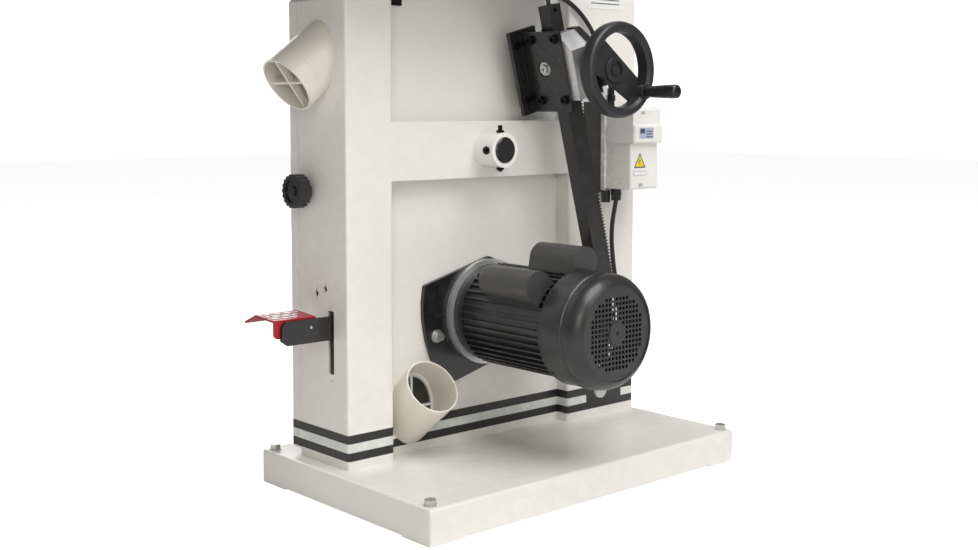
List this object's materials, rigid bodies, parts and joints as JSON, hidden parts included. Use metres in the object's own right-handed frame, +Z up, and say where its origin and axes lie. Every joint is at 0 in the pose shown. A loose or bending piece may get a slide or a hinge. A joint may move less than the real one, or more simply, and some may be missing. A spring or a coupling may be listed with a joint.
{
  "type": "vertical band saw",
  "caption": "Floor-standing vertical band saw with a rack-and-pinion table tilt, rear motor, foot brake, dust spigots and two hinged wheel doors.",
  "frame": {"origin": "centre of the base tray at floor level", "axes": "+Z up, -Y towards the operator and the doors, +X towards the blade side, -X towards the column"},
  "size_m": [0.92, 0.678, 1.936],
  "materials": {
    "cabinet_paint": "gloss cream-white enamel",
    "cast_table": "ground grey iron",
    "wheel_casting": "machined casting",
    "tyre_rubber": "vulcanised rubber",
    "blade_steel": "hardened strip steel",
    "zinc_steel": "zinc plated",
    "motor_black": "satin black enamel",
    "flange_grey": "die-cast aluminium",
    "shaft_steel": "turned steel",
    "knob_plastic": "black phenolic",
    "switch_plastic": "light grey plastic",
    "cord_rubber": "black rubber sheath",
    "pedal_red": "red enamel",
    "button_green": "green plastic",
    "button_red": "red plastic"
  },
  "bodies": {
    "frame": {"axle_boss": "cabinet_paint", "axle_cap": "knob_plastic", "base": "cabinet_paint", "brake_pivot": "zinc_steel", "column": "cabinet_paint", "control_panel": "switch_plastic", "cord_glands": "knob_plastic", "drive_belt": "tyre_rubber", "fan_cover": "motor_black", "fasteners": "zinc_steel", "feed_cord": "cord_rubber", "gear_block": "flange_grey", "gearbox_plate": "motor_black", "head_brackets": "wheel_casting", "hinge_barrels": "zinc_steel", "lower_axle": "zinc_steel", "lower_guide": "wheel_casting", "lower_housing": "cabinet_paint", "motor_body": "motor_black", "motor_cord": "cord_rubber", "motor_covers": "motor_black", "motor_flange": "flange_grey", "motor_plate": "motor_black", "pinion_case": "motor_black", "rear_dust_port": "cabinet_paint", "saw_blade": "blade_steel", "side_dust_port": "cabinet_paint", "switch_base": "switch_plastic", "switch_cover": "switch_plastic", "switch_plate": "motor_black", "trunnion_cradles": "cast_table", "upper_housing": "cabinet_paint"},
    "table": {"table": "cast_table", "table_insert": "zinc_steel", "trunnions": "cast_table", "fence_rail": "zinc_steel"},
    "fence": {"fence": "flange_grey"},
    "rack": {"rack_bar": "motor_black"},
    "tilt_wheel": {"tilt_handwheel": "knob_plastic", "tilt_pinion": "shaft_steel"},
    "grip": {"tilt_handle": "knob_plastic"},
    "brake": {"brake_arm": "motor_black", "brake_pedal": "pedal_red"},
    "lower_door": {"lower_door": "cabinet_paint"},
    "upper_door": {"upper_door": "cabinet_paint"},
    "lower_latch": {"lower_latch": "knob_plastic"},
    "upper_latch": {"upper_latch": "knob_plastic"},
    "guide": {"guide_post": "zinc_steel", "upper_guide": "motor_black"},
    "start_button": {"start_button": "button_green"},
    "stop_button": {"stop_button": "button_red"},
    "carriage": {"wheel_carriage": "wheel_casting"},
    "upper_wheel": {"upper_wheel": "wheel_casting", "upper_tyre": "tyre_rubber"},
    "lower_wheel": {"lower_wheel": "wheel_casting", "lower_tyre": "tyre_rubber", "wheel_pulley": "wheel_casting"},
    "motor_rotor": {"motor_rotor": "shaft_steel", "motor_fan": "motor_black"},
    "tension_wheel": {"tension_handwheel": "knob_plastic"}
  },
  "joints": [
    {"name": "lower_wheel_spin", "type": "hinge", "parent": "frame", "child": "lower_wheel", "pos_m": [0.03, -0.1, 0.588], "axis": [0, 1, 0], "continuous": true},
    {"name": "motor_spin", "type": "hinge", "parent": "frame", "child": "motor_rotor", "pos_m": [0.012, 0.1, 0.292], "axis": [0, 1, 0], "continuous": true},
    {"name": "tension_turn", "type": "hinge", "parent": "frame", "child": "tension_wheel", "pos_m": [0.03, -0.0595, 1.92], "axis": [0, 0, 1], "range_deg": [-1441.5, 721.3]},
    {"name": "carriage_slide", "type": "slide", "parent": "frame", "child": "carriage", "axis": [0, 0, 1], "range_m": [-0.016, 0.008], "deforming": ["saw_blade"]},
    {"name": "upper_wheel_spin", "type": "hinge", "parent": "carriage", "child": "upper_wheel", "pos_m": [0.03, -0.1, 1.645], "axis": [0, 1, 0], "continuous": true},
    {"name": "table_tilt", "type": "hinge", "parent": "frame", "child": "table", "pos_m": [0.271, -0.1, 0.952], "axis": [0, 1, 0], "range_deg": [0, 45]},
    {"name": "rack_slide", "type": "slide", "parent": "frame", "child": "rack", "axis": [0.2588, 0, 0.9659], "range_m": [0, 0.2275]},
    {"name": "tilt_wheel_turn", "type": "hinge", "parent": "frame", "child": "tilt_wheel", "pos_m": [-0.13615, 0.14, 0.72993], "axis": [0, 1, 0], "range_deg": [-655, 0]},
    {"name": "tilt_handle_spin", "type": "hinge", "parent": "tilt_wheel", "child": "grip", "pos_m": [-0.19536, 0.214, 0.6913], "axis": [0, 1, 0], "continuous": true},
    {"name": "brake_press", "type": "hinge", "parent": "frame", "child": "brake", "pos_m": [0.11, -0.062, 0.294], "axis": [0, 1, 0], "range_deg": [0, 14.3], "stiffness_Nm_per_rad": 4, "springref_deg": -57.3},
    {"name": "lower_door_swing", "type": "hinge", "parent": "frame", "child": "lower_door", "pos_m": [-0.374, -0.157, 0.46], "axis": [0, 0, 1], "range_deg": [-110, 0]},
    {"name": "upper_door_swing", "type": "hinge", "parent": "frame", "child": "upper_door", "pos_m": [-0.374, -0.157, 1.6], "axis": [0, 0, 1], "range_deg": [-110, 0]},
    {"name": "lower_latch_turn", "type": "hinge", "parent": "frame", "child": "lower_latch", "pos_m": [0.355, -0.128, 0.522], "axis": [1, 0, 0], "range_deg": [0, 90]},
    {"name": "upper_latch_turn", "type": "hinge", "parent": "frame", "child": "upper_latch", "pos_m": [0.355, -0.128, 1.56], "axis": [1, 0, 0], "range_deg": [0, 90]},
    {"name": "guide_post_slide", "type": "slide", "parent": "frame", "child": "guide", "axis": [0, 0, 1], "range_m": [-0.19, 0.17]},
    {"name": "fence_slide", "type": "slide", "parent": "table", "child": "fence", "axis": [-1, 0, 0], "range_m": [-0.1, 0.2]},
    {"name": "start_press", "type": "slide", "parent": "frame", "child": "start_button", "axis": [0, 1, 0], "range_m": [0, 0.003], "stiffness_N_per_m": 400, "springref_m": -0.002},
    {"name": "stop_press", "type": "slide", "parent": "frame", "child": "stop_button", "axis": [0, 1, 0], "range_m": [0, 0.003], "stiffness_N_per_m": 400, "springref_m": -0.002}
  ],
  "couplings": [
    {"joint": "upper_wheel_spin", "follows": "lower_wheel_spin", "ratio": 1},
    {"joint": "motor_spin", "follows": "lower_wheel_spin", "ratio": 2.58},
    {"joint": "tension_turn", "follows": "carriage_slide", "rad_per_m": 1570.8},
    {"joint": "rack_slide", "follows": "table_tilt", "m_per_rad": 0.2893},
    {"joint": "tilt_wheel_turn", "follows": "table_tilt", "ratio": -14.465}
  ]
}
